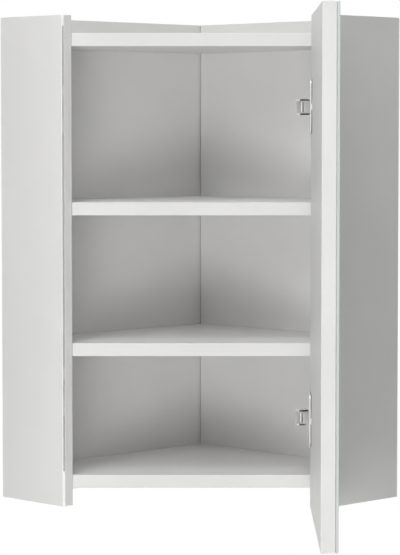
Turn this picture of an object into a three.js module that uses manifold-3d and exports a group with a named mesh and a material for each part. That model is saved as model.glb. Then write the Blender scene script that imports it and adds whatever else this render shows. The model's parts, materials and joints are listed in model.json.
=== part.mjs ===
// Diagonal corner wall cabinet: two back boards meet in the room corner, two short side boards stand
// out from the walls, and one full-height mirrored door hangs on two cup hinges across the diagonal.
// Millimetres, +Z up, origin on the line where the two walls meet, level with the board ends.
import * as THREE from 'three';
import { mergeVertices } from 'three/addons/utils/BufferGeometryUtils.js';
import Module from 'manifold-3d';

const wasm = await Module();
wasm.setup();

// Carcass
const cabinetHeight = 600;
const wallLeg = 351; // room corner to the outer face of each side board, along the wall
const sideDepth = 114; // how far each side board stands out from its wall
const boardThickness = 16;
const backThickness = 12;
const levelInset = 21.5; // top and bottom panels sit this far inside the board ends
const lowerClearHeight = 146.5;
const middleClearHeight = 156.5;
const trimWidth = 3.4; // polished strip on the outer front corner of each side board
const trimDepth = 1.2;
const jointGap = 0.3; // hairline left between neighbouring pieces
const cornerGap = 1.2; // open joint between the two back boards

// Door
const doorReveal = 0.5; // door edges stay this far inside the cabinet's corners
const doorStandOff = 2; // gap between the closed door and the cabinet's corners
const doorThickness = 16;
const mirrorThickness = 3;
const glueThickness = 0.4;
const glueClearance = 0.1;
const glueMargin = 1;
const doorOpenAngle = THREE.MathUtils.degToRad(89.4);

// Hinges
const hingeFromTop = 111.5;
const hingeFromBottom = 109.5;
const pivotFromEdge = 17.7; // the turning line of the door, from its hinge edge
const pivotDepth = 14.8; // and from its inner face
const cupRadius = 17.5;
const cupDepth = 12;
const cupWall = 1;
const cupFromEdge = 22.5;
const flangeThickness = 2;
const flangeLength = 66;
const flangeWidth = 36;
const flangeCorner = 7;
const flangeFootHeight = 0.7; // the flange's underside steps in, so its edge stands clear of the door
const flangeFootInset = 1.2;
const rimNotchDepth = 1; // the flange's notch for the link, below the door's inner face
const rimNotchGap = 0.9; // beside the link
const cupScrewSpacing = 48;
const armHeight = 18.8;
const armHalfWidth = 6.5;
const armWall = 1.6;
const armPinForward = 26.3; // arm pin, in front of the side board's front edge
const armPinOffset = 19.9; // and out from its inner face
const armTail = 56; // the arm's rear end, behind the side board's front edge
const pinRadius = 1.25;
const pinHeadRadius = 2;
const pinHeadHeight = 0.6;
const cupPinSwing = 12; // cup pin to the door's turning line
const linkHalfWidth = 2.6;
const linkHeight = 14.8;
const linkWall = 1.5;
const plateThickness = 2.6;
const plateLength = 44;
const plateBehindEdge = 12; // plate's front end, behind the side board's front edge
const plateWingHeight = 46;
const plateWingLength = 17;
const plateScrewSpacing = 32;
const spineHalfHeight = 6;

// Wall fixing and hidden fastenings
const hangerAcross = 176; // hanging plate, along the wall from the room corner
const hangerFromTop = 78;
const hangerWidth = 38;
const hangerHeight = 62;
const hangerThickness = 2;
const hangerPocketDepth = 8.5;
const keyholeRadius = 4.6;
const keyholeSlotRadius = 2.4;
const keyholeRise = 14;
const hangerScrewSpacing = 46;
const levelScrewAcross = 176;
const camRadius = 7.5;
const camDepth = 12.5;
const camInset = 24; // cam centre, in from the side board
const camFromFront = 56; // and behind the side board's front edge
const camBoltStart = 2.5; // the bolt head, from the cam's centre
const camBoltGrip = 11; // the bolt's thread in the side board
const camBolt = {
  headRadius: 3.2, headHeight: 1.8, neckRadius: 1.7, neckLength: 4, shankRadius: 3, threadRadius: 2.5,
};
const cornerScrewInset = 150; // corner screws, in from the board ends

// Screws: the head is countersunk, and the length is measured from its top
const levelScrew = { headRadius: 4, headHeight: 3, shankRadius: 2, length: 42, drive: 2.4 };
const smallScrew = { headRadius: 3.4, headHeight: 2.2, shankRadius: 1.6, length: 8.5, drive: 2 };
const cupScrew = { headRadius: 3.8, headHeight: 1.4, shankRadius: 1.75, length: 13, drive: 2.2 };
const plateScrew = { headRadius: 3.8, headHeight: 2.2, shankRadius: 1.75, length: 13, drive: 2.2 };
const lockScrew = { headRadius: 3.6, headHeight: 1.6, shankRadius: 2, length: 9, drive: 2.2 };

// Round shapes
const boreSides = 20;
const cupSides = 32;
const screwSides = 12;
const noseSteps = 8;
const cornerSteps = 4;

// Places worked out from the sizes above. In the corner frame, X runs along the left wall, Y along
// the right wall, and both start at the room corner.
const cornerFrameTurn = -0.75 * Math.PI;
const sideInnerFace = wallLeg - boardThickness;
const frontLine = sideInnerFace + sideDepth; // X + Y on the front of the panels and shelves
const levelInner = backThickness + jointGap;
const camAcross = sideDepth - camFromFront;
const levelOuter = sideInnerFace - jointGap;
const bottomLevel = levelInset;
const lowerLevel = bottomLevel + boardThickness + lowerClearHeight;
const upperLevel = lowerLevel + boardThickness + middleClearHeight;
const topLevel = cabinetHeight - levelInset - boardThickness;
const levels = {
  bottom_panel: bottomLevel,
  shelf_lower: lowerLevel,
  shelf_upper: upperLevel,
  top_panel: topLevel,
};
const hingeHeights = { upper: cabinetHeight - hingeFromTop, lower: hingeFromBottom };

// The closed door, in the cabinet's own frame
const doorInnerFace = -(wallLeg + sideDepth) * Math.SQRT1_2 - doorStandOff;
const hingeEdge = (wallLeg - sideDepth) * Math.SQRT1_2 - doorReveal;
const doorOuterFace = doorInnerFace - doorThickness;
const mirrorBack = doorOuterFace - glueThickness - 2 * glueClearance;
const cupCentre = hingeEdge - cupFromEdge;
const doorPivot = new THREE.Vector2(hingeEdge - pivotFromEdge, doorInnerFace - pivotDepth);

// Each hinge link turns on the arm pin and carries the cup pin. The cup pin lies where the arm pin
// is as far from its closed place as from its place at a quarter turn.
const armPin = cornerToCabinet(sideDepth + armPinForward, sideInnerFace - armPinOffset);
const armPinBearing = armPin.clone().sub(doorPivot).angle();
const cupPinClosed = doorPivot.clone().add(polar(cupPinSwing, armPinBearing - Math.PI / 4));
const cupPinOpen = doorPivot.clone().add(polar(cupPinSwing, armPinBearing + Math.PI / 4));
const linkLength = armPin.distanceTo(cupPinClosed);
const linkClosedAngle = cupPinClosed.clone().sub(armPin).angle();
const linkOpenAngle = cupPinOpen.clone().sub(armPin).angle();
const linkRatio = (linkOpenAngle - linkClosedAngle) / (Math.PI / 2);

function polar(radius, bearing) {
  return new THREE.Vector2(radius * Math.cos(bearing), radius * Math.sin(bearing));
}

function cornerToCabinet(alongLeft, alongRight) {
  return new THREE.Vector2(alongLeft, alongRight).rotateAround(new THREE.Vector2(0, 0), cornerFrameTurn);
}

// Solids
function block(fromX, toX, fromY, toY, fromZ, toZ) {
  const geometry = new THREE.BoxGeometry(toX - fromX, toY - fromY, toZ - fromZ);
  return geometry.translate((fromX + toX) / 2, (fromY + toY) / 2, (fromZ + toZ) / 2);
}

function prism(points, bottom, top) {
  const outline = new THREE.Shape(points.map(([x, y]) => new THREE.Vector2(x, y)));
  const geometry = new THREE.ExtrudeGeometry(outline, { depth: top - bottom, bevelEnabled: false });
  return geometry.translate(0, 0, bottom);
}

function rod(start, direction, radius, length, sides = boreSides) {
  const geometry = new THREE.CylinderGeometry(radius, radius, length, sides);
  geometry.translate(0, length / 2, 0);
  geometry.applyQuaternion(new THREE.Quaternion().setFromUnitVectors(new THREE.Vector3(0, 1, 0), direction));
  return geometry.translate(start.x, start.y, start.z);
}

function toManifold(geometry) {
  const bare = geometry.clone();
  bare.deleteAttribute('normal');
  bare.deleteAttribute('uv');
  const merged = mergeVertices(bare, 1e-4);
  return new wasm.Manifold(new wasm.Mesh({
    numProp: 3,
    vertProperties: new Float32Array(merged.attributes.position.array),
    triVerts: new Uint32Array(merged.index.array),
  }));
}

function toGeometry(manifold) {
  const mesh = manifold.getMesh();
  const geometry = new THREE.BufferGeometry();
  geometry.setAttribute('position', new THREE.BufferAttribute(mesh.vertProperties, 3));
  geometry.setIndex(new THREE.BufferAttribute(mesh.triVerts, 1));
  const faceted = geometry.toNonIndexed();
  faceted.computeVertexNormals();
  return faceted;
}

function cut(base, tools) {
  const solid = tools.reduce((rest, tool) => rest.subtract(toManifold(tool)), toManifold(base));
  return toGeometry(solid);
}

function join(base, others) {
  const solid = others.reduce((whole, other) => whole.add(toManifold(other)), toManifold(base));
  return toGeometry(solid);
}

// The same piece on the other wall: X and Y change places.
function onOtherWall(geometry) {
  const flipped = geometry.index ? geometry.toNonIndexed() : geometry.clone();
  const source = flipped.attributes.position.clone();
  const target = flipped.attributes.position;
  for (let corner = 0; corner < source.count; corner += 3) {
    [0, 2, 1].forEach((from, to) => {
      const place = new THREE.Vector3().fromBufferAttribute(source, corner + from);
      target.setXYZ(corner + to, place.y, place.x, place.z);
    });
  }
  flipped.computeVertexNormals();
  return flipped;
}

// Fasteners: made with the head's top at the origin and the tip along +Y, then turned into place
function placed(geometry, seat, direction) {
  geometry.applyQuaternion(new THREE.Quaternion().setFromUnitVectors(new THREE.Vector3(0, 1, 0), direction));
  return geometry.translate(seat.x, seat.y, seat.z);
}

function screw(size, seat, direction) {
  const { headRadius, headHeight, shankRadius, length, drive } = size;
  const rimHeight = headHeight * 0.25;
  const tipLength = shankRadius * 1.5;
  const profile = [
    [0, 0], [headRadius, 0], [headRadius, rimHeight], [shankRadius, headHeight],
    [shankRadius, length - tipLength], [shankRadius * 0.3, length], [0, length],
  ];
  const body = new THREE.LatheGeometry(profile.map(([x, y]) => new THREE.Vector2(x, y)), screwSides);
  const driveDepth = headHeight * 0.6;
  const armWidth = drive * 0.3;
  const cross = [
    block(-drive, drive, -1, driveDepth, -armWidth / 2, armWidth / 2),
    block(-armWidth / 2, armWidth / 2, -1, driveDepth, -drive, drive),
  ];
  return placed(cut(outward(body), cross), seat, direction);
}

function screwHole(size, seat, direction) {
  const { headRadius, headHeight, shankRadius, length } = size;
  const clear = jointGap;
  const profile = [
    [0, -1], [headRadius + clear, -1], [headRadius + clear, headHeight * 0.25 + clear],
    [shankRadius + clear, headHeight + 2 * clear], [shankRadius + clear, length + clear], [0, length + clear],
  ];
  const hole = new THREE.LatheGeometry(profile.map(([x, y]) => new THREE.Vector2(x, y)), screwSides);
  return placed(outward(hole), seat, direction);
}

// A lathe profile that runs the other way round turns its faces inwards, so they are turned back.
function outward(geometry) {
  const turned = geometry.toNonIndexed();
  const place = turned.attributes.position;
  const corners = [0, 1, 2].map(() => new THREE.Vector3());
  let volume = 0;
  for (let index = 0; index < place.count; index += 3) {
    corners.forEach((corner, offset) => corner.fromBufferAttribute(place, index + offset));
    volume += corners[0].dot(corners[1].clone().cross(corners[2]));
  }
  if (volume > 0) {
    return turned;
  }
  for (let index = 0; index < place.count; index += 3) {
    corners.forEach((corner, offset) => corner.fromBufferAttribute(place, index + offset));
    place.setXYZ(index + 1, corners[2].x, corners[2].y, corners[2].z);
    place.setXYZ(index + 2, corners[1].x, corners[1].y, corners[1].z);
  }
  return turned;
}

// Materials
const finishes = {
  whiteBoard: { color: 0xe9e9e7, roughness: 0.45, metalness: 0 },
  polishedTrim: { color: 0xe4e5e4, roughness: 0.08, metalness: 1 },
  mirrorGlass: { color: 0xd6dcda, roughness: 0.03, metalness: 0.9 },
  glue: { color: 0xb9bcb8, roughness: 0.6, metalness: 0 },
  nickel: { color: 0xb9bab8, roughness: 0.28, metalness: 1 },
  zincSteel: { color: 0xa7a9aa, roughness: 0.4, metalness: 1 },
  dieCast: { color: 0x9a9b9b, roughness: 0.5, metalness: 0.9 },
};

function piece(name, geometry, finish) {
  const mesh = new THREE.Mesh(geometry, new THREE.MeshStandardMaterial(finishes[finish]));
  mesh.name = name;
  return mesh;
}

// Every screw of the carcass: where its head sits, in the corner frame
function levelScrewSeats() {
  return Object.entries(levels).map(([level, height]) => ({
    name: level,
    seat: new THREE.Vector3(levelScrewAcross, 0, height + boardThickness / 2),
  }));
}

const intoBoardFromLeftWall = new THREE.Vector3(0, 1, 0);
const intoSideBoard = new THREE.Vector3(0, 1, 0);
const alongLeftWall = new THREE.Vector3(1, 0, 0);

function cornerScrewSeats() {
  return [cornerScrewInset, cabinetHeight - cornerScrewInset].map((height) => (
    new THREE.Vector3(backThickness / 2, 0, height)
  ));
}

function hangerCentre() {
  return new THREE.Vector3(hangerAcross, 0, cabinetHeight - hangerFromTop);
}

function hangerScrewSeats() {
  return [-hangerScrewSpacing / 2, hangerScrewSpacing / 2].map((rise) => (
    hangerCentre().add(new THREE.Vector3(0, 0, rise))
  ));
}

// Boards
function backHoles() {
  const centre = hangerCentre();
  const halfWidth = hangerWidth / 2 + jointGap;
  const halfHeight = hangerHeight / 2 + jointGap;
  const pocketHalfWidth = keyholeRadius + 2;
  return [
    block(centre.x - halfWidth, centre.x + halfWidth, -1, hangerThickness + jointGap,
      centre.z - halfHeight, centre.z + halfHeight),
    block(centre.x - pocketHalfWidth, centre.x + pocketHalfWidth, -1, hangerPocketDepth,
      centre.z - pocketHalfWidth - keyholeRise / 2, centre.z + pocketHalfWidth + keyholeRise / 2),
    ...hangerScrewSeats().map((seat) => screwHole(smallScrew, seat, intoBoardFromLeftWall)),
    ...levelScrewSeats().map(({ seat }) => screwHole(levelScrew, seat, intoBoardFromLeftWall)),
  ];
}

function backLeft() {
  const board = block(0, levelOuter, 0, backThickness, 0, cabinetHeight);
  const cornerHoles = cornerScrewSeats().map((seat) => screwHole(levelScrew, seat, intoBoardFromLeftWall));
  return piece('back_left', cut(board, [...backHoles(), ...cornerHoles]), 'whiteBoard');
}

function backRight() {
  const board = block(0, backThickness, backThickness + cornerGap, levelOuter, 0, cabinetHeight);
  const cornerHoles = cornerScrewSeats().map((seat) => screwHole(levelScrew, seat, intoBoardFromLeftWall));
  return piece('back_right', cut(board, [...backHoles().map(onOtherWall), ...cornerHoles]), 'whiteBoard');
}

// The side board's plan, with a rebate for the trim strip on its outer front corner
function sideBoard() {
  const rebateX = wallLeg - trimWidth - jointGap;
  const rebateY = sideDepth - trimDepth - jointGap;
  return prism([
    [sideInnerFace, 0], [wallLeg, 0], [wallLeg, rebateY], [rebateX, rebateY], [rebateX, sideDepth],
    [sideInnerFace, sideDepth],
  ], 0, cabinetHeight);
}

function sideTrim() {
  return block(wallLeg - trimWidth, wallLeg, sideDepth - trimDepth, sideDepth, 0, cabinetHeight);
}

function camBoltSeat(level) {
  const height = levels[`${level}_panel`] + boardThickness / 2;
  return new THREE.Vector3(sideInnerFace - camInset + camBoltStart, camAcross, height);
}

function sidePieces() {
  const boltHoles = ['top', 'bottom'].map((level) => {
    const seat = camBoltSeat(level);
    const mouth = new THREE.Vector3(sideInnerFace - 1, seat.y, seat.z);
    return rod(mouth, alongLeftWall, camBolt.threadRadius + jointGap, camBoltGrip + jointGap + 1, screwSides);
  });
  const board = cut(sideBoard(), boltHoles);
  const plateHoles = Object.values(hingeHeights).flatMap((height) => (
    plateScrewSeats(height).map((seat) => screwHole(plateScrew, seat, intoSideBoard))
  ));
  return [
    piece('side_left', board, 'whiteBoard'),
    piece('trim_left', sideTrim(), 'polishedTrim'),
    piece('side_right', cut(onOtherWall(board), plateHoles), 'whiteBoard'),
    piece('trim_right', onOtherWall(sideTrim()), 'polishedTrim'),
  ];
}

function levelPanel(name, height) {
  const frontCorner = frontLine - levelOuter;
  const panel = prism([
    [levelInner, levelInner], [levelOuter, levelInner], [levelOuter, frontCorner],
    [frontCorner, levelOuter], [levelInner, levelOuter],
  ], height, height + boardThickness);
  const seats = levelScrewSeats().filter((screwed) => screwed.name === name);
  const holes = seats.map(({ seat }) => screwHole(levelScrew, seat, intoBoardFromLeftWall));
  if (name.endsWith('_panel')) {
    const level = name.replace('_panel', '');
    holes.push(camBlank(name, camRadius + jointGap, camDepth + jointGap), camBoltHole(level));
  }
  return piece(name, cut(panel, [...holes, ...holes.map(onOtherWall)]), 'whiteBoard');
}

// Cam locks draw the side boards onto the top and bottom panels, from the faces nobody sees.
function camBlank(level, radius, depth) {
  const centreX = sideInnerFace - camInset;
  if (level === 'top_panel') {
    const seat = new THREE.Vector3(centreX, camAcross, topLevel + boardThickness);
    return rod(seat, new THREE.Vector3(0, 0, -1), radius, depth);
  }
  return rod(new THREE.Vector3(centreX, camAcross, bottomLevel), new THREE.Vector3(0, 0, 1), radius, depth);
}

function camBoltHole(level) {
  return rod(camBoltSeat(level), alongLeftWall, camBolt.shankRadius + jointGap, camInset, screwSides);
}

// A bolt from the side board, whose head the cam pulls on
function camBoltPiece(level) {
  const { headRadius, headHeight, neckRadius, neckLength, shankRadius, threadRadius } = camBolt;
  const shankEnd = camInset - camBoltStart;
  const tip = shankEnd + camBoltGrip;
  const profile = [
    [0, 0], [headRadius, 0], [headRadius, headHeight], [neckRadius, headHeight],
    [neckRadius, headHeight + neckLength], [shankRadius, headHeight + neckLength],
    [shankRadius, shankEnd - jointGap], [threadRadius, shankEnd - jointGap], [threadRadius, tip], [0, tip],
  ];
  const bolt = new THREE.LatheGeometry(profile.map(([x, y]) => new THREE.Vector2(x, y)), screwSides);
  return placed(outward(bolt), camBoltSeat(level), alongLeftWall);
}

function camPieces() {
  const slotWidth = 1.4;
  const slotReach = camRadius - 1.5;
  const centreX = sideInnerFace - camInset;
  return ['top', 'bottom'].flatMap((end) => {
    const face = end === 'top' ? topLevel + boardThickness : bottomLevel;
    const slot = [
      block(centreX - slotReach, centreX + slotReach, camAcross - slotWidth / 2, camAcross + slotWidth / 2,
        face - 1.5, face + 1.5),
      block(centreX - slotWidth / 2, centreX + slotWidth / 2, camAcross - slotReach, camAcross + slotReach,
        face - 1.5, face + 1.5),
    ];
    const headRoom = rod(camBoltSeat(end).setX(centreX + camBoltStart - 1), alongLeftWall,
      camBolt.headRadius + jointGap, camRadius, screwSides);
    const cam = cut(camBlank(`${end}_panel`, camRadius, camDepth), [...slot, headRoom]);
    const bolt = camBoltPiece(end);
    return [
      piece(`cam_${end}_left`, cam, 'dieCast'),
      piece(`cam_${end}_right`, onOtherWall(cam), 'dieCast'),
      piece(`cam_bolt_${end}_left`, bolt, 'zincSteel'),
      piece(`cam_bolt_${end}_right`, onOtherWall(bolt), 'zincSteel'),
    ];
  });
}

function carcassScrews() {
  const levelScrews = levelScrewSeats().flatMap(({ name, seat }) => {
    const geometry = screw(levelScrew, seat, intoBoardFromLeftWall);
    return [
      piece(`screw_${name}_left`, geometry, 'zincSteel'),
      piece(`screw_${name}_right`, onOtherWall(geometry), 'zincSteel'),
    ];
  });
  const cornerScrews = cornerScrewSeats().map((seat, index) => (
    piece(`screw_corner_${index + 1}`, screw(levelScrew, seat, intoBoardFromLeftWall), 'zincSteel')
  ));
  return [...levelScrews, ...cornerScrews];
}

// A keyhole plate, let in flush with the wall side of each back board
function hangerPlate() {
  const centre = hangerCentre();
  const lowerHole = new THREE.Vector3(centre.x, -1, centre.z - keyholeRise / 2);
  const upperHole = new THREE.Vector3(centre.x, -1, centre.z + keyholeRise / 2);
  const plate = block(centre.x - hangerWidth / 2, centre.x + hangerWidth / 2, 0, hangerThickness,
    centre.z - hangerHeight / 2, centre.z + hangerHeight / 2);
  const holeLength = hangerThickness + 2;
  return cut(plate, [
    rod(lowerHole, intoBoardFromLeftWall, keyholeRadius, holeLength),
    rod(upperHole, intoBoardFromLeftWall, keyholeSlotRadius, holeLength),
    block(centre.x - keyholeSlotRadius, centre.x + keyholeSlotRadius, -1, hangerThickness + 1,
      lowerHole.z, upperHole.z),
    ...hangerScrewSeats().map((seat) => screwHole(smallScrew, seat, intoBoardFromLeftWall)),
  ]);
}

function hangerPieces() {
  const plate = hangerPlate();
  const screws = hangerScrewSeats().flatMap((seat, index) => {
    const geometry = screw(smallScrew, seat, intoBoardFromLeftWall);
    return [
      piece(`hanger_left_screw_${index + 1}`, geometry, 'zincSteel'),
      piece(`hanger_right_screw_${index + 1}`, onOtherWall(geometry), 'zincSteel'),
    ];
  });
  return [
    piece('hanger_left', plate, 'zincSteel'),
    piece('hanger_right', onOtherWall(plate), 'zincSteel'),
    ...screws,
  ];
}

// Hinge pieces on the side board, in the corner frame: Y grows towards the side board's inner face
function plateScrewSeats(height) {
  const seatX = sideDepth - plateBehindEdge - plateLength / 2;
  const seatY = sideInnerFace - jointGap - plateThickness;
  return [-plateScrewSpacing / 2, plateScrewSpacing / 2].map((rise) => (
    new THREE.Vector3(seatX, seatY, height + rise)
  ));
}

function lockScrewSeat(height) {
  const webFace = sideInnerFace - armPinOffset - armHalfWidth;
  const seatX = sideDepth - plateBehindEdge - plateLength * 0.7;
  return new THREE.Vector3(seatX, webFace, height);
}

function hingePlate(height) {
  const front = sideDepth - plateBehindEdge;
  const rear = front - plateLength;
  const middle = (front + rear) / 2;
  const seatFace = sideInnerFace - jointGap;
  const spineTop = sideInnerFace - armPinOffset - armHalfWidth + armWall + jointGap;
  const base = block(rear, front, seatFace - plateThickness, seatFace,
    height - spineHalfHeight, height + spineHalfHeight);
  const wings = block(middle - plateWingLength / 2, middle + plateWingLength / 2,
    seatFace - plateThickness, seatFace, height - plateWingHeight / 2, height + plateWingHeight / 2);
  const spine = block(rear, front, spineTop, seatFace - plateThickness / 2,
    height - spineHalfHeight, height + spineHalfHeight);
  const holes = plateScrewSeats(height).map((seat) => screwHole(plateScrew, seat, intoSideBoard));
  const lockHole = screwHole(lockScrew, lockScrewSeat(height), intoSideBoard);
  return cut(join(base, [wings, spine]), [...holes, lockHole]);
}

function hingeArm(height) {
  const pinX = sideDepth + armPinForward;
  const pinY = sideInnerFace - armPinOffset;
  const rear = sideDepth - armTail;
  const nose = Array.from({ length: noseSteps + 1 }, (_, step) => {
    const around = polar(armHalfWidth, -Math.PI / 2 + (Math.PI * step) / noseSteps);
    return [pinX + around.x, pinY + around.y];
  });
  const outline = [[rear, pinY - armHalfWidth], ...nose, [rear, pinY + armHalfWidth]];
  const channelHalf = armHeight / 2 - armWall;
  const channel = block(rear - 1, pinX + armHalfWidth + 1, pinY - armHalfWidth + armWall,
    pinY + armHalfWidth + 1, height - channelHalf, height + channelHalf);
  const pinHole = rod(new THREE.Vector3(pinX, pinY, height - armHeight), new THREE.Vector3(0, 0, 1),
    pinRadius + jointGap, armHeight * 2);
  const lockHole = screwHole(lockScrew, lockScrewSeat(height), intoSideBoard);
  const bar = prism(outline, height - armHeight / 2, height + armHeight / 2);
  return cut(bar, [channel, pinHole, lockHole]);
}

// A pin between two cheeks, riveted over at both ends
function rivetPin(x, y, height, grip) {
  const half = grip / 2 + jointGap;
  const profile = [
    [0, -half - pinHeadHeight], [pinHeadRadius, -half - pinHeadHeight], [pinHeadRadius, -half],
    [pinRadius, -half], [pinRadius, half], [pinHeadRadius, half],
    [pinHeadRadius, half + pinHeadHeight], [0, half + pinHeadHeight],
  ];
  const pin = new THREE.LatheGeometry(profile.map(([px, py]) => new THREE.Vector2(px, py)), screwSides);
  return placed(outward(pin), new THREE.Vector3(x, y, height), new THREE.Vector3(0, 0, 1));
}

function carcassHingePieces(end, height) {
  const plateScrews = plateScrewSeats(height).map((seat, index) => (
    piece(`hinge_${end}_plate_screw_${index + 1}`, screw(plateScrew, seat, intoSideBoard), 'nickel')
  ));
  const pin = rivetPin(sideDepth + armPinForward, sideInnerFace - armPinOffset, height, armHeight);
  return [
    piece(`hinge_${end}_plate`, hingePlate(height), 'nickel'),
    piece(`hinge_${end}_arm`, hingeArm(height), 'nickel'),
    piece(`hinge_${end}_arm_pin`, pin, 'zincSteel'),
    piece(`hinge_${end}_lock_screw`, screw(lockScrew, lockScrewSeat(height), intoSideBoard), 'zincSteel'),
    ...plateScrews,
  ];
}

// Door pieces, in the cabinet's frame with the door closed
const intoDoor = new THREE.Vector3(0, -1, 0);

function cupScrewSeats(height) {
  return [-cupScrewSpacing / 2, cupScrewSpacing / 2].map((rise) => (
    new THREE.Vector3(cupCentre, doorInnerFace + jointGap + flangeThickness, height + rise)
  ));
}

// A rectangle with rounded corners, as points that run anticlockwise
function roundedOutline(centreX, centreY, width, height, corner) {
  const turns = [[1, 1], [-1, 1], [-1, -1], [1, -1]];
  return turns.flatMap(([sideX, sideY], turn) => (
    Array.from({ length: cornerSteps + 1 }, (_, step) => {
      const around = polar(corner, (Math.PI / 2) * (turn + step / cornerSteps));
      return [
        centreX + sideX * (width / 2 - corner) + around.x,
        centreY + sideY * (height / 2 - corner) + around.y,
      ];
    })
  ));
}

function hingeCup(height) {
  const seat = new THREE.Vector3(cupCentre, doorInnerFace + jointGap, height);
  const flangeTop = seat.y + flangeThickness;
  const cup = rod(new THREE.Vector3(seat.x, flangeTop, height), intoDoor, cupRadius - jointGap,
    cupDepth + flangeThickness, cupSides);
  const footTop = seat.y + flangeFootHeight;
  const outline = roundedOutline(seat.x, height, flangeWidth, flangeLength, flangeCorner);
  const footOutline = roundedOutline(seat.x, height, flangeWidth - 2 * flangeFootInset,
    flangeLength - 2 * flangeFootInset, flangeCorner - flangeFootInset);
  const flange = prism(outline, -flangeTop, -footTop).rotateX(Math.PI / 2);
  const foot = prism(footOutline, -footTop, -seat.y).rotateX(Math.PI / 2);
  const hollow = rod(new THREE.Vector3(seat.x, flangeTop + 1, height), intoDoor,
    cupRadius - jointGap - cupWall, cupDepth + flangeThickness + 1 - cupWall, cupSides);
  const notchHalf = linkHeight / 2 + rimNotchGap;
  const notch = block(seat.x, seat.x + flangeWidth / 2 + 1, doorInnerFace - rimNotchDepth, flangeTop + 1,
    height - notchHalf, height + notchHalf);
  const holes = cupScrewSeats(height).map((screwSeat) => screwHole(cupScrew, screwSeat, intoDoor));
  return cut(join(cup, [flange, foot]), [hollow, notch, ...holes]);
}

function doorBoard() {
  const board = block(-hingeEdge, hingeEdge, doorOuterFace, doorInnerFace,
    doorReveal, cabinetHeight - doorReveal);
  const recesses = Object.values(hingeHeights).flatMap((height) => [
    rod(new THREE.Vector3(cupCentre, doorInnerFace + 1, height), intoDoor, cupRadius,
      cupDepth + 1 + jointGap, cupSides),
    ...cupScrewSeats(height).map((seat) => screwHole(cupScrew, seat, intoDoor)),
  ]);
  return cut(board, recesses);
}

function doorPieces() {
  const mirror = block(-hingeEdge, hingeEdge, mirrorBack - mirrorThickness, mirrorBack, doorReveal,
    cabinetHeight - doorReveal);
  const glue = block(-hingeEdge + glueMargin, hingeEdge - glueMargin, mirrorBack + glueClearance,
    doorOuterFace - glueClearance, doorReveal + glueMargin, cabinetHeight - doorReveal - glueMargin);
  const hingePieces = Object.entries(hingeHeights).flatMap(([end, height]) => {
    const screws = cupScrewSeats(height).map((seat, index) => (
      piece(`hinge_${end}_cup_screw_${index + 1}`, screw(cupScrew, seat, intoDoor), 'nickel')
    ));
    return [piece(`hinge_${end}_cup`, hingeCup(height), 'nickel'), ...screws];
  });
  return [
    piece('door_board', doorBoard(), 'whiteBoard'),
    piece('door_mirror', mirror, 'mirrorGlass'),
    piece('mirror_adhesive', glue, 'glue'),
    ...hingePieces,
  ];
}

// Hinge link, with the arm pin at the origin and the cup pin along +X: two cheeks and a back
function hingeLink() {
  const ring = (centreX, fromAngle) => Array.from({ length: noseSteps + 1 }, (_, step) => {
    const around = polar(linkHalfWidth, fromAngle + (Math.PI * step) / noseSteps);
    return [centreX + around.x, around.y];
  });
  const outline = [...ring(linkLength, -Math.PI / 2), ...ring(0, Math.PI / 2)];
  const bar = prism(outline, -linkHeight / 2, linkHeight / 2);
  const channelHalf = linkHeight / 2 - linkWall;
  const reach = linkHalfWidth + 1;
  const channel = block(-reach, linkLength + reach, -reach, linkHalfWidth - linkWall,
    -channelHalf, channelHalf);
  const ends = [
    block(-reach, pinRadius + 2, -reach, reach, -channelHalf, channelHalf),
    block(linkLength - pinRadius - 2, linkLength + reach, -reach, reach, -channelHalf, channelHalf),
  ];
  const holes = [0, linkLength].map((x) => (
    rod(new THREE.Vector3(x, 0, -linkHeight), new THREE.Vector3(0, 0, 1), pinRadius + jointGap,
      linkHeight * 2)
  ));
  return cut(bar, [channel, ...ends, ...holes]);
}

function linkGroup(end, height) {
  const group = new THREE.Group();
  group.position.set(armPin.x, armPin.y, height);
  group.rotation.z = linkClosedAngle + linkRatio * doorOpenAngle;
  group.add(piece(`hinge_${end}_link`, hingeLink(), 'nickel'));
  group.add(piece(`hinge_${end}_cup_pin`, rivetPin(linkLength, 0, 0, linkHeight), 'zincSteel'));
  return group;
}

// The whole cabinet, with the door standing open
const cabinet = new THREE.Group();
const carcass = new THREE.Group();
carcass.rotation.z = cornerFrameTurn;
carcass.add(backLeft(), backRight(), ...sidePieces());
Object.entries(levels).forEach(([name, height]) => carcass.add(levelPanel(name, height)));
carcass.add(...carcassScrews(), ...camPieces(), ...hangerPieces());
Object.entries(hingeHeights).forEach(([end, height]) => carcass.add(...carcassHingePieces(end, height)));

const doorTurn = new THREE.Group();
doorTurn.position.set(doorPivot.x, doorPivot.y, 0);
doorTurn.rotation.z = doorOpenAngle;
const closedDoor = new THREE.Group();
closedDoor.position.set(-doorPivot.x, -doorPivot.y, 0);
closedDoor.add(...doorPieces());
doorTurn.add(closedDoor);

cabinet.add(carcass, doorTurn);
Object.entries(hingeHeights).forEach(([end, height]) => cabinet.add(linkGroup(end, height)));

export default cabinet;
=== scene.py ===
import json
from math import hypot, radians, sqrt

import bmesh
import bpy
from mathutils import Euler, Matrix, Vector


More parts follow.
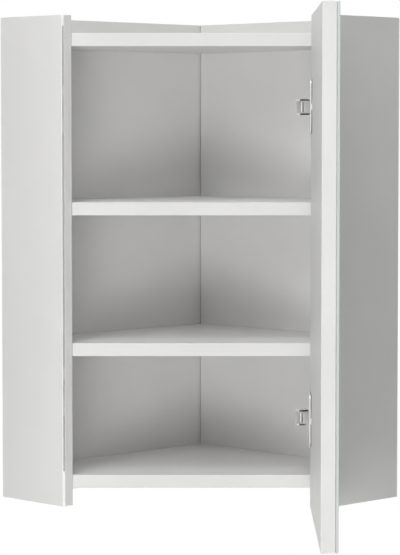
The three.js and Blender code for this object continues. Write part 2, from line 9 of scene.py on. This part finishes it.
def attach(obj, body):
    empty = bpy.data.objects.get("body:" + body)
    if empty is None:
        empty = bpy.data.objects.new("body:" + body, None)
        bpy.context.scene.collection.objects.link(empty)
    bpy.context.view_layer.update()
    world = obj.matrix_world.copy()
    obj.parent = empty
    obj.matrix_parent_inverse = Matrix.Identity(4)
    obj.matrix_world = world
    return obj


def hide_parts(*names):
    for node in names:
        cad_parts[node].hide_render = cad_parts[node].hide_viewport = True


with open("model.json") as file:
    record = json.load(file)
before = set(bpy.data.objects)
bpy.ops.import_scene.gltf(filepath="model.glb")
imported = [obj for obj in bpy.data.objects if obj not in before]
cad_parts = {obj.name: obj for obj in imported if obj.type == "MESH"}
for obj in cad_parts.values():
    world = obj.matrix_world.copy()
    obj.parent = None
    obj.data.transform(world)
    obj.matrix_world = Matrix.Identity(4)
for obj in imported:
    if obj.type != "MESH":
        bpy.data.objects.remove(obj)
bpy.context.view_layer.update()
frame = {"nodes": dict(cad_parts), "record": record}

record = frame["record"]
slotOfNode = {part["node"]: part["material_slot"] for part in record["subparts"]}
bodyOfNode = {node: body for body, nodes in record["behaviour"]["bodies"].items() for node in nodes}
print("frame loaded:", len(frame["nodes"]), "nodes")

# camera, worked out from the photo's edges: metres, degrees and the photo's own pixels
view = {"place": (0.0, -3.2897, 0.4633), "pitchDown": 3.517, "focalPixels": 2434.8, "photoHeight": 555,
        "sensorMillimetres": 36, "farthest": 60}

cameraData = bpy.data.cameras.new("photoCamera")
cameraData.sensor_width = view["sensorMillimetres"]
cameraData.lens = view["focalPixels"] / view["photoHeight"] * cameraData.sensor_width
cameraData.clip_end = view["farthest"]
camera = bpy.data.objects.new("photoCamera", cameraData)
camera.location = view["place"]
camera.rotation_euler = (radians(90 - view["pitchDown"]), 0, 0)
bpy.context.scene.collection.objects.link(camera)
bpy.context.scene.camera = camera
bpy.context.scene.view_settings.view_transform = "Standard"


# shader maths: a wire is a socket that can be added, multiplied and so on
class Wire:
    def __init__(self, tree, socket=None):
        self.tree = tree
        self.socket = socket

    def node(self, kind, settings=None, inputs=None, out=0):
        made = self.tree.nodes.new(kind)
        for name, value in (settings or {}).items():
            setattr(made, name, value)
        for name, value in (inputs or {}).items():
            if isinstance(value, Wire):
                self.tree.links.new(value.socket, made.inputs[name])
            else:
                made.inputs[name].default_value = value
        return Wire(self.tree, made.outputs[out] if made.outputs else None)

    def maths(self, operation, *values):
        return self.node("ShaderNodeMath", {"operation": operation}, dict(enumerate(values)))

    def __add__(self, other):
        return self.maths("ADD", self, other)

    __radd__ = __add__

    def __mul__(self, other):
        return self.maths("MULTIPLY", self, other)

    __rmul__ = __mul__

    def __sub__(self, other):
        return self.maths("SUBTRACT", self, other)

    def __rsub__(self, other):
        return self.maths("SUBTRACT", other, self)

    def __truediv__(self, other):
        return self.maths("DIVIDE", self, other)

    def clamped(self, low=0.0, high=1.0):
        return self.node("ShaderNodeClamp", None, {"Value": self, "Min": low, "Max": high})

    def between(self, low, high):
        return self.node("ShaderNodeMapRange", {"interpolation_type": "SMOOTHSTEP"},
                         {"Value": self, "From Min": low, "From Max": high})

    # the mix node's colour sockets share their names, so they go by number
    def mixed(self, first, second):
        return self.node("ShaderNodeMix", {"data_type": "RGBA", "blend_type": "MIX"},
                         {0: self, 6: tint(first), 7: tint(second)}, out=2)


# a colour gets its alpha; a wire is passed on
def tint(colour):
    return colour if isinstance(colour, Wire) else (*colour, 1.0)


def newMaterial(name):
    material = bpy.data.materials.new(name)
    material.use_nodes = True
    material.node_tree.nodes.clear()
    return material, Wire(material.node_tree)


def finishWith(wires, values):
    shader = wires.node("ShaderNodeBsdfPrincipled", None, values)
    wires.node("ShaderNodeOutputMaterial", None, {"Surface": shader})


def objectPlace(wires):
    return wires.node("ShaderNodeTexCoord", out="Object")


def stretched(wires, where, scale):
    return wires.node("ShaderNodeMapping", None, {"Vector": where, "Scale": scale})


def noise(wires, where, scale, detail=2.0, roughness=0.5):
    return wires.node("ShaderNodeTexNoise", {"noise_dimensions": "3D"},
                      {"Vector": where, "Scale": scale, "Detail": detail, "Roughness": roughness})


def bumped(wires, height, strength, depth):
    return wires.node("ShaderNodeBump", None, {"Height": height, "Strength": strength, "Distance": depth})


def rayIs(wires, kind):
    return wires.node("ShaderNodeLightPath", out="Is " + kind + " Ray")


# white melamine-faced board: a fine pearl grain, faint mottling and soft rub marks
melamine = {"rough": 0.42, "specular": 0.42, "speckShare": 0.22, "speckShade": 0.86, "grainDepth": 0.00006}


def boardFinish(name, light, shade):
    material, wires = newMaterial(name)
    where = objectPlace(wires)
    mottle = noise(wires, where, scale=7.0, detail=4.0, roughness=0.6).between(0.35, 0.68)
    pearl = noise(wires, where, scale=1500.0, detail=1.0)
    orangePeel = noise(wires, where, scale=260.0)
    rubbed = noise(wires, where, scale=38.0, detail=5.0, roughness=0.62).between(0.5, 0.72)
    speck = noise(wires, where, scale=420.0, detail=3.0, roughness=0.7).between(0.68, 0.8)
    clean = mottle.mixed(light, shade)
    dusty = [channel * melamine["speckShade"] for channel in shade]
    finishWith(wires, {"Specular IOR Level": melamine["specular"],
                       "Base Color": (speck * melamine["speckShare"]).mixed(clean, dusty),
                       "Roughness": melamine["rough"] + rubbed * 0.09 + pearl * 0.06,
                       "Normal": bumped(wires, pearl * 0.6 + orangePeel * 0.8, 0.35, melamine["grainDepth"])})
    return material


# edge banding: smoother than the faces, with a very faint length grain
banding = {"rough": 0.33, "specular": 0.5, "rippleDepth": 0.00005}


def bandFinish(name, light, shade):
    material, wires = newMaterial(name)
    where = objectPlace(wires)
    ripple = noise(wires, stretched(wires, where, (90.0, 90.0, 900.0)), scale=1.0, detail=3.0)
    broad = noise(wires, where, scale=11.0, detail=3.0).between(0.3, 0.7)
    finishWith(wires, {"Specular IOR Level": banding["specular"],
                       "Base Color": broad.mixed(light, shade),
                       "Roughness": banding["rough"] + ripple * 0.08,
                       "Normal": bumped(wires, ripple, 0.2, banding["rippleDepth"])})
    return material


# plated or polished metal: soft streaks along one direction and fine wear in the shine
def metalFinish(name, light, shade, rough, streak=(60.0, 60.0, 700.0), bumpDepth=0.00003, wear=0.12,
                metallic=1.0):
    material, wires = newMaterial(name)
    where = objectPlace(wires)
    lines = noise(wires, stretched(wires, where, streak), scale=3.0, detail=3.0, roughness=0.6)
    cloud = noise(wires, where, scale=90.0, detail=4.0, roughness=0.6).between(0.35, 0.7)
    pits = noise(wires, where, scale=1900.0, detail=1.0).between(0.62, 0.74)
    worn = rough + lines * wear * 0.6 + cloud * wear * 0.5 + pits * 0.08
    finishWith(wires, {"Metallic": metallic,
                       "Base Color": cloud.mixed(light, shade),
                       "Roughness": worn.clamped(0.02, 0.9),
                       "Normal": bumped(wires, lines * 0.7 - pits * 0.5, 0.3, bumpDepth)})
    return material


# silvered glass: nearly perfect, with faint wiping haze
def mirrorFinish(name, light, shade):
    material, wires = newMaterial(name)
    haze = noise(wires, objectPlace(wires), scale=5.0, detail=5.0, roughness=0.65).between(0.45, 0.75)
    finishWith(wires, {"Metallic": 1.0, "Base Color": haze.mixed(light, shade),
                       "Roughness": 0.012 + haze * 0.03})
    return material


# the ground and polished rim of the glass, pale green-grey
def glassRimFinish(name, light, shade):
    material, wires = newMaterial(name)
    bands = noise(wires, stretched(wires, objectPlace(wires), (1.0, 1.0, 0.12)), scale=60.0, detail=4.0,
                  roughness=0.6)
    finishWith(wires, {"Coat Weight": 0.6, "Coat Roughness": 0.05, "IOR": 1.5,
                       "Base Color": bands.between(0.3, 0.7).mixed(light, shade),
                       "Roughness": 0.16 + bands * 0.12})
    return material


def glueFinish(name, light, shade):
    material, wires = newMaterial(name)
    lumps = noise(wires, objectPlace(wires), scale=140.0, detail=3.0)
    finishWith(wires, {"Base Color": lumps.between(0.3, 0.7).mixed(light, shade),
                       "Roughness": 0.6 + lumps * 0.15,
                       "Normal": bumped(wires, lumps, 0.4, 0.0002)})
    return material


# finishes by material slot, and after them those that only some faces or hinge pieces have
nickel = {"light": (0.88, 0.875, 0.865), "shade": (0.82, 0.815, 0.805)}
finishes = {
    "carcass_board_white": boardFinish("melamineWhite", (0.80, 0.797, 0.786), (0.775, 0.771, 0.76)),
    "door_board_white": boardFinish("doorMelamineWhite", (0.76, 0.758, 0.749), (0.735, 0.733, 0.724)),
    "polished_trim": metalFinish("polishedTrim", (0.93, 0.935, 0.935), (0.88, 0.885, 0.885), rough=0.03,
                                 streak=(300.0, 300.0, 20.0), bumpDepth=0.00001, wear=0.04),
    "mirror_glass": mirrorFinish("silveredGlass", (0.86, 0.885, 0.875), (0.83, 0.86, 0.85)),
    "adhesive": glueFinish("mirrorGlue", (0.70, 0.705, 0.70), (0.62, 0.625, 0.62)),
    "nickel_steel": metalFinish("nickelPlate", **nickel, rough=0.28, metallic=0.5),
    "pin_steel": metalFinish("platedPin", (0.78, 0.78, 0.775), (0.72, 0.72, 0.715), rough=0.3,
                             metallic=0.35),
    "zinc_steel": metalFinish("zincPlate", (0.62, 0.63, 0.62), (0.50, 0.51, 0.50), rough=0.3),
    "die_cast_zinc": metalFinish("castZinc", (0.46, 0.46, 0.46), (0.34, 0.34, 0.34), rough=0.45,
                                 streak=(200.0, 200.0, 200.0), bumpDepth=0.00008, wear=0.2),
    "armPlate": metalFinish("armNickelPlate", **nickel, rough=0.30, metallic=0.3),
    "linkPlate": metalFinish("linkNickelPlate", **nickel, rough=0.30, metallic=0.75),
    # painted shade: a near-black finish put on the arm's cheek rims and the cup's flange recess in place of
    # their shadows
    "darkEdge": metalFinish("shadedNickelEdge", (0.10, 0.10, 0.10), (0.07, 0.07, 0.07), rough=0.45),
    "edgeBand": bandFinish("whiteEdgeBand", (0.685, 0.685, 0.676), (0.66, 0.66, 0.651)),
    "glassRim": glassRimFinish("glassRim", (0.55, 0.58, 0.563), (0.497, 0.532, 0.515)),
}
print("finishes made:", len(finishes))


# every visible piece starts from a merged copy of its solid
merging = {"distance": 0.00001, "flatAngle": 0.5}


def copyOfNode(node):
    mesh = bmesh.new()
    mesh.from_mesh(frame["nodes"][node].data)
    bmesh.ops.remove_doubles(mesh, verts=mesh.verts, dist=merging["distance"])
    bmesh.ops.dissolve_limit(mesh, angle_limit=radians(merging["flatAngle"]), verts=mesh.verts,
                             edges=mesh.edges)
    return mesh


def finishPiece(name, mesh, materials, node, sharpAngle):
    data = bpy.data.meshes.new(name)
    mesh.normal_update()
    mesh.to_mesh(data)
    mesh.free()
    for material in materials:
        data.materials.append(material)
    data.shade_smooth()
    data.set_sharp_from_angle(angle=radians(sharpAngle))
    piece = bpy.data.objects.new(name, data)
    bpy.context.scene.collection.objects.link(piece)
    weighted = piece.modifiers.new("evenShading", "WEIGHTED_NORMAL")
    weighted.keep_sharp = True
    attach(piece, bodyOfNode[node])
    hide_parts(node)
    return piece


# metres and degrees; a face as narrow as a board is thick, or less, carries the edge band
boards = {"arris": 0.0006, "segments": 3, "shortestEdge": 0.010, "roundedAngle": 40, "sharpAngle": 35,
          "bandWidth": 0.0165,
          "names": {"back_left": "leftBackBoard", "back_right": "rightBackBoard",
                    "side_left": "leftSideBoard", "side_right": "rightSideBoard",
                    "top_panel": "topPanelBoard", "bottom_panel": "bottomPanelBoard",
                    "shelf_upper": "upperShelfBoard", "shelf_lower": "lowerShelfBoard",
                    "door_board": "doorCoreBoard"}}


def isLongAndSharp(edge):
    return (len(edge.link_faces) == 2 and edge.calc_length() > boards["shortestEdge"]
            and edge.calc_face_angle(0) > radians(boards["roundedAngle"]))


def isBanded(node, face):
    across = [max(vert.co[axis] for vert in face.verts) - min(vert.co[axis] for vert in face.verts)
              for axis in range(3)]
    if node.startswith(("top_", "bottom_", "shelf_")):
        return across[2] < boards["bandWidth"] and abs(face.normal.z) < 0.5
    return hypot(across[0], across[1]) < boards["bandWidth"] or abs(face.normal.z) > 0.5


def roundedBoard(node, name):
    mesh = copyOfNode(node)
    bmesh.ops.bevel(mesh, geom=[edge for edge in mesh.edges if isLongAndSharp(edge)],
                    offset=boards["arris"], offset_type="OFFSET", segments=boards["segments"],
                    profile=0.5, affect="EDGES", material=-1, clamp_overlap=False)
    for face in mesh.faces:
        face.material_index = 1 if isBanded(node, face) else 0
    finishPiece(name, mesh, [finishes[slotOfNode[node]], finishes["edgeBand"]], node, boards["sharpAngle"])


for node, name in boards["names"].items():
    roundedBoard(node, name)
print("boards made")


# the mirror's outer face is silvered, and all round it the glass is bare
mirrorSheet = {"node": "door_mirror", "arris": 0.0004, "segments": 3, "sharpAngle": 35}


def mirrorPiece():
    mesh = copyOfNode(mirrorSheet["node"])
    bmesh.ops.bevel(mesh, geom=mesh.edges[:], offset=mirrorSheet["arris"], offset_type="OFFSET",
                    segments=mirrorSheet["segments"], profile=0.5, affect="EDGES", material=-1)
    mesh.normal_update()
    front = max(mesh.faces, key=lambda face: face.calc_area() * (face.normal.x > 0.5))
    for face in mesh.faces:
        face.material_index = 0 if face == front else 1
    finishPiece("mirrorSheet", mesh, [finishes["mirror_glass"], finishes["glassRim"]], mirrorSheet["node"],
                mirrorSheet["sharpAngle"])


mirrorPiece()
print("mirror made")


# the hinge arm is a channel; its narrow cheek rims get painted shade, a near-black finish in place of the
# shadow along them
armRimShadeMask = {"openSide": Vector((sqrt(0.5), -sqrt(0.5), 0)), "facing": 0.35, "thickness": 0.0018}


def paintShadeOnArmRims(mesh):
    mesh.normal_update()
    for face in mesh.faces:
        tall = max(vert.co.z for vert in face.verts) - min(vert.co.z for vert in face.verts)
        if face.normal.dot(armRimShadeMask["openSide"]) > armRimShadeMask["facing"] and tall < armRimShadeMask["thickness"]:
            face.material_index = 1


# the recess under the cup's flange gets painted shade too: faces at these depths below the flange's top take
# the near-black finish in place of the shadow line beside the flange
flangeRecessShadeMask = {"top": 0.00125, "foot": 0.0021}


def paintShadeInFlangeRecess(mesh):
    doorFaces = frame["nodes"]["door_board"].data.polygons
    outwards = max(doorFaces, key=lambda face: face.area * (face.normal.x < -0.5)).normal
    flangeTop = max(vert.co.dot(outwards) for vert in mesh.verts)
    for face in mesh.faces:
        depths = [flangeTop - vert.co.dot(outwards) for vert in face.verts]
        if min(depths) > flangeRecessShadeMask["top"] and max(depths) < flangeRecessShadeMask["foot"]:
            face.material_index = 1


# small metal pieces get a finely rounded copy
metalwork = {"arris": 0.00022, "segments": 2, "roundedAngle": 48, "sharpAngle": 50}
ownPlating = {"arm": "armPlate", "link": "linkPlate"}
# arms and cups get painted shade: some of their faces take the near-black finish in place of shadows
paintedShadeFor = {"arm": paintShadeOnArmRims, "cup": paintShadeInFlangeRecess}


def softenedMetal(node):
    words = node.split("_")
    kind = words[-1]
    mesh = copyOfNode(node)
    materials = [finishes[ownPlating.get(kind, slotOfNode[node])]]
    # painted shade: the chosen faces of arms and cups take the near-black edge finish
    if kind in paintedShadeFor:
        paintedShadeFor[kind](mesh)
        materials.append(finishes["darkEdge"])
    name = "fitted" + "".join(word.capitalize() for word in words)
    piece = finishPiece(name, mesh, materials, node, metalwork["sharpAngle"])
    rounding = piece.modifiers.new("arris", "BEVEL")
    rounding.width = metalwork["arris"]
    rounding.segments = metalwork["segments"]
    rounding.limit_method = "ANGLE"
    rounding.angle_limit = radians(metalwork["roundedAngle"])
    piece.modifiers.move(1, 0)


notMetal = set(boards["names"]) | {mirrorSheet["node"], "mirror_adhesive"}
for node in sorted(set(frame["nodes"]) - notMetal):
    softenedMetal(node)
print("metalwork made")

# the glue sheet stays as it is and gets its finish
adhesive = frame["nodes"]["mirror_adhesive"]
adhesive.data.materials.clear()
adhesive.data.materials.append(finishes["adhesive"])
print("adhesive finished")


def stagePiece(name, mesh, material, height=0.0):
    data = bpy.data.meshes.new(name)
    mesh.to_mesh(data)
    mesh.free()
    data.materials.append(material)
    piece = bpy.data.objects.new(name, data)
    piece.location.z = height
    bpy.context.scene.collection.objects.link(piece)
    return piece


# floor well below the cabinet, which hangs on a wall; it fades to white between two shares of its radius
floor = {"height": -0.9, "radius": 3.2, "sides": 96, "centre": (0, -0.3, 0), "colour": (0.86, 0.86, 0.855),
         "fadeStart": 0.45, "fadeEnd": 0.95}


def floorFinish():
    material, wires = newMaterial("studioFloor")
    spread = wires.node("ShaderNodeVectorMath", {"operation": "LENGTH"}, {0: objectPlace(wires)}, out="Value")
    rim = (spread / floor["radius"]).between(floor["fadeStart"], floor["fadeEnd"])
    factor = (rim * (rayIs(wires, "Camera") + rayIs(wires, "Glossy"))).clamped()
    matt = wires.node("ShaderNodeBsdfDiffuse", None, {"Color": tint(floor["colour"])})
    white = wires.node("ShaderNodeEmission", None, {"Color": tint((1, 1, 1)), "Strength": 1.0})
    shader = wires.node("ShaderNodeMixShader", None, {0: factor, 1: matt, 2: white})
    wires.node("ShaderNodeOutputMaterial", None, {"Surface": shader})
    return material


floorMesh = bmesh.new()
bmesh.ops.create_circle(floorMesh, cap_ends=True, segments=floor["sides"], radius=floor["radius"],
                        matrix=Matrix.Translation(floor["centre"]))
stagePiece("studioFloor", floorMesh, floorFinish(), floor["height"])

# soft studio light: sizes and places in metres, strengths in watts
ambient = {"toEye": 1.0, "toPieces": 0.44}
lamps = {
    "highLeft": {"place": (-1.8, -3.8, 2.6), "size": 1.8, "power": 31, "inMirror": True},
    "highFront": {"place": (-0.5, -3.2, 3.2), "size": 1.8, "power": 20, "inMirror": True},
    "overFront": {"place": (-0.4, -1.9, 3.4), "size": 1.2, "power": 23, "inMirror": True},
    "broadLeft": {"place": (-3.6, -2.4, 1.2), "size": 1.8, "power": 4, "inMirror": False},
    "lowFront": {"place": (-0.6, -3.6, -0.6), "size": 1.2, "power": 46, "inMirror": False},
    "behind": {"place": (0.0, 3.6, 1.8), "size": 1.8, "power": 33, "inMirror": False},
}
aim = Vector((0, -0.25, 0.30))

# the world is white to the camera and in reflections, and dimmer as a light
world = bpy.data.worlds.new("studioWorld")
bpy.context.scene.world = world
world.use_nodes = True
world.node_tree.nodes.clear()
sky = Wire(world.node_tree)
toEye = (rayIs(sky, "Camera") + rayIs(sky, "Glossy") + rayIs(sky, "Transmission")).clamped()
strength = ambient["toPieces"] + toEye * (ambient["toEye"] - ambient["toPieces"])
glow = sky.node("ShaderNodeBackground", None, {"Color": tint((1, 1, 1)), "Strength": strength})
sky.node("ShaderNodeOutputWorld", None, {"Surface": glow})

for name, lamp in lamps.items():
    light = bpy.data.lights.new(name, "AREA")
    light.energy = lamp["power"]
    light.shape = "DISK"
    light.size = lamp["size"]
    source = bpy.data.objects.new(name, light)
    source.location = lamp["place"]
    source.rotation_euler = (aim - Vector(lamp["place"])).to_track_quat("-Z", "Y").to_euler()
    source.visible_glossy = lamp["inMirror"]
    bpy.context.scene.collection.objects.link(source)
print("studio lit with", len(lamps), "lamps")

# two dark cards where the room's walls would be, so that the outer sides shade towards the back
wallCards = {"start": 0.352, "width": 0.30, "bottom": -0.15, "top": 0.75, "colour": (0.05, 0.05, 0.05),
             "turns": {"leftWallCard": -135, "rightWallCard": -45}}


def wallCard(name, turn):
    middle = wallCards["start"] + wallCards["width"] / 2
    tall = wallCards["top"] - wallCards["bottom"]
    along = Matrix.Rotation(radians(turn), 3, "Z") @ Vector((middle, 0, 0))
    place = along + Vector((0, 0, wallCards["bottom"] + tall / 2))
    upright = Euler((radians(90), 0, radians(turn)))
    card = bmesh.new()
    bmesh.ops.create_grid(card, x_segments=1, y_segments=1, size=0.5,
                          matrix=Matrix.LocRotScale(place, upright, Vector((wallCards["width"], tall, 1))))
    material, wires = newMaterial(name)
    finishWith(wires, {"Base Color": tint(wallCards["colour"]), "Roughness": 1.0})
    piece = stagePiece(name, card, material)
    piece.visible_camera = False
    piece.visible_glossy = False


for name, turn in wallCards["turns"].items():
    wallCard(name, turn)
print("wall cards set")
